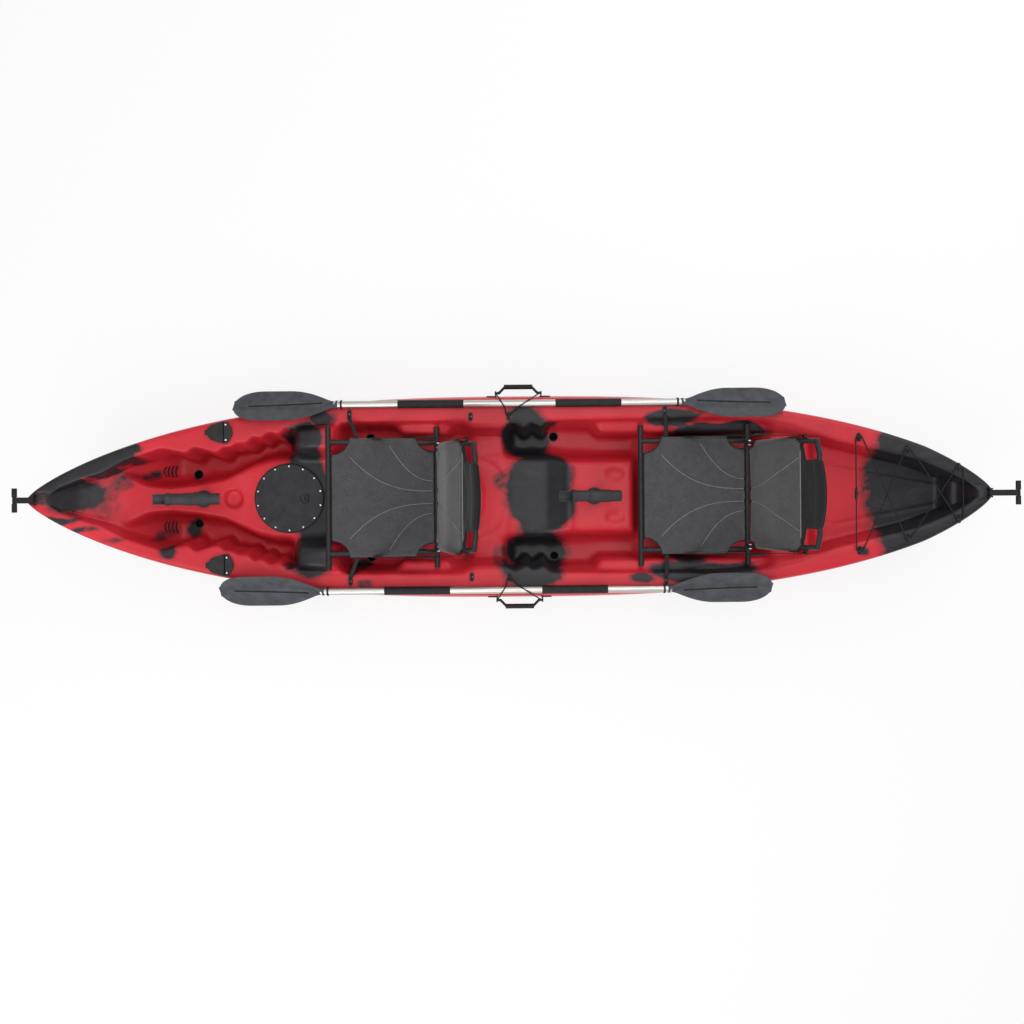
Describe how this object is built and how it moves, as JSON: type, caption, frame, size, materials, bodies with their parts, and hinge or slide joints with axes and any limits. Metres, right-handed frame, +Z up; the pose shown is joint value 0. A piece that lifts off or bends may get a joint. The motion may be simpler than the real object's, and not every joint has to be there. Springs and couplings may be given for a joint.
{
  "type": "tandem kayak",
  "caption": "Sit-on-top fishing kayak for a pair of paddlers, with folding framed seats, stowed paddles, rod holders, a round deck hatch and a bungee-laced tank well.",
  "frame": {"origin": "amidships on the centre line, at the underside of the flat bottom panels", "axes": "+X towards the stern, +Y to starboard, +Z up"},
  "size_m": [4.012, 0.9332, 0.7495],
  "materials": {
    "hull_red": "satin moulded polyethylene, red with black marbling",
    "hull_black": "satin moulded polyethylene",
    "fitting_black": "satin moulded nylon",
    "seal_rubber": "matte",
    "grip_rubber": "matte",
    "bright_steel": "satin",
    "shaft_aluminium": "satin anodised",
    "frame_black": "powder coat",
    "blade_grey": "fine grain",
    "seat_fabric": "woven heather polyester over foam",
    "webbing": "woven",
    "cord": "braided"
  },
  "bodies": {
    "boat": {"hull_shell": "hull_red", "deck_shell": "hull_red", "scupper_tubes": "hull_black", "rod_sockets": "hull_red", "hatch_ring": "fitting_black", "hatch_gasket": "seal_rubber", "front_rod_foot": "fitting_black", "rear_rod_foot": "fitting_black", "flush_rod_holders": "fitting_black", "end_saddles": "fitting_black", "side_handle_brackets": "fitting_black", "pad_eyes": "fitting_black", "screws": "bright_steel", "seat_tethers": "webbing", "tank_bungee": "cord", "bungee_hook": "fitting_black", "keeper_cord_port": "cord", "keeper_cord_stbd": "cord", "front_seat_frame": "frame_black", "front_seat_pad": "seat_fabric", "front_seat_bolts": "bright_steel", "front_seat_straps": "webbing", "rear_seat_frame": "frame_black", "rear_seat_pad": "seat_fabric", "rear_seat_bolts": "bright_steel", "rear_seat_straps": "webbing"},
    "hatch_lid": {"hatch_lid": "fitting_black"},
    "hatch_pull": {"hatch_pull": "fitting_black"},
    "front_rod_yoke": {"front_rod_yoke": "fitting_black", "front_rod_bolt": "bright_steel"},
    "front_rod_tube": {"front_rod_tube": "fitting_black"},
    "rear_rod_yoke": {"rear_rod_yoke": "fitting_black", "rear_rod_bolt": "bright_steel"},
    "rear_rod_tube": {"rear_rod_tube": "fitting_black"},
    "flush_cap_port": {"flush_cap_port": "seal_rubber"},
    "flush_cap_stbd": {"flush_cap_stbd": "seal_rubber"},
    "bow_handle": {"bow_strap": "webbing", "bow_toggle": "fitting_black"},
    "stern_handle": {"stern_strap": "webbing", "stern_toggle": "fitting_black"},
    "side_handle_port": {"side_handle_port": "fitting_black"},
    "side_handle_stbd": {"side_handle_stbd": "fitting_black"},
    "paddle_port": {"paddle_port_shaft": "shaft_aluminium", "paddle_port_ferrule": "bright_steel", "paddle_port_grips": "grip_rubber", "paddle_port_rings": "grip_rubber", "paddle_port_blades": "blade_grey"},
    "paddle_port_button": {"paddle_port_button": "bright_steel"},
    "paddle_stbd": {"paddle_stbd_shaft": "shaft_aluminium", "paddle_stbd_ferrule": "bright_steel", "paddle_stbd_grips": "grip_rubber", "paddle_stbd_rings": "grip_rubber", "paddle_stbd_blades": "blade_grey"},
    "paddle_stbd_button": {"paddle_stbd_button": "bright_steel"},
    "front_seat_back": {"front_seat_back_frame": "frame_black", "front_seat_back_pad": "seat_fabric"},
    "rear_seat_back": {"rear_seat_back_frame": "frame_black", "rear_seat_back_pad": "seat_fabric"}
  },
  "joints": [
    {"name": "hatch_lid_lift", "type": "slide", "parent": "boat", "child": "hatch_lid", "axis": [0, 0, 1], "range_m": [0, 0.09]},
    {"name": "hatch_pull_turn", "type": "hinge", "parent": "hatch_lid", "child": "hatch_pull", "pos_m": [-0.878, 0, 0.25605], "axis": [0, 1, 0], "range_deg": [0, 90]},
    {"name": "front_rod_swivel", "type": "hinge", "parent": "boat", "child": "front_rod_yoke", "pos_m": [-1.31, 0, 0.36514], "axis": [0, 0, 1], "continuous": true},
    {"name": "front_rod_tilt", "type": "hinge", "parent": "front_rod_yoke", "child": "front_rod_tube", "pos_m": [-1.31, 0, 0.36514], "axis": [0, 1, 0], "range_deg": [-19, 50]},
    {"name": "rear_rod_swivel", "type": "hinge", "parent": "boat", "child": "rear_rod_yoke", "pos_m": [0.316, 0, 0.3327], "axis": [0, 0, 1], "continuous": true},
    {"name": "rear_rod_tilt", "type": "hinge", "parent": "rear_rod_yoke", "child": "rear_rod_tube", "pos_m": [0.316, 0, 0.3327], "axis": [0, 1, 0], "range_deg": [-14, 55]},
    {"name": "flush_cap_port_open", "type": "hinge", "parent": "boat", "child": "flush_cap_port", "pos_m": [-1.20339, -0.27, 0.35494], "axis": [0, 1, 0], "range_deg": [0, 110]},
    {"name": "flush_cap_stbd_open", "type": "hinge", "parent": "boat", "child": "flush_cap_stbd", "pos_m": [-1.20339, 0.27, 0.35494], "axis": [0, 1, 0], "range_deg": [0, 110]},
    {"name": "bow_handle_swing", "type": "hinge", "parent": "boat", "child": "bow_handle", "pos_m": [-1.926, 0, 0.46627], "axis": [0, 1, 0], "range_deg": [-20, 110]},
    {"name": "stern_handle_swing", "type": "hinge", "parent": "boat", "child": "stern_handle", "pos_m": [1.886, 0, 0.42347], "axis": [0, -1, 0], "range_deg": [-10, 110]},
    {"name": "side_handle_port_swing", "type": "hinge", "parent": "boat", "child": "side_handle_port", "pos_m": [0, -0.42944, 0.268], "axis": [-1, 0, 0], "range_deg": [-40, 90]},
    {"name": "side_handle_stbd_swing", "type": "hinge", "parent": "boat", "child": "side_handle_stbd", "pos_m": [0, 0.42944, 0.268], "axis": [1, 0, 0], "range_deg": [-40, 90]},
    {"name": "paddle_port_lift", "type": "slide", "parent": "boat", "child": "paddle_port", "axis": [0, 0, 1], "range_m": [0, 0.3], "deforming": ["keeper_cord_port"]},
    {"name": "paddle_stbd_lift", "type": "slide", "parent": "boat", "child": "paddle_stbd", "axis": [0, 0, 1], "range_m": [0, 0.3], "deforming": ["keeper_cord_stbd"]},
    {"name": "paddle_port_button_press", "type": "slide", "parent": "paddle_port", "child": "paddle_port_button", "axis": [0, 0, 1], "range_m": [0, 0.003], "stiffness_N_per_m": 400},
    {"name": "paddle_stbd_button_press", "type": "slide", "parent": "paddle_stbd", "child": "paddle_stbd_button", "axis": [0, 0, 1], "range_m": [0, 0.003], "stiffness_N_per_m": 400},
    {"name": "front_seat_back_fold", "type": "hinge", "parent": "boat", "child": "front_seat_back", "pos_m": [-0.32934, 0, 0.33631], "axis": [0, -1, 0], "range_deg": [0, 88], "deforming": ["front_seat_straps"]},
    {"name": "rear_seat_back_fold", "type": "hinge", "parent": "boat", "child": "rear_seat_back", "pos_m": [0.942, 0, 0.3373], "axis": [0, -1, 0], "range_deg": [0, 88], "deforming": ["rear_seat_straps"]}
  ]
}
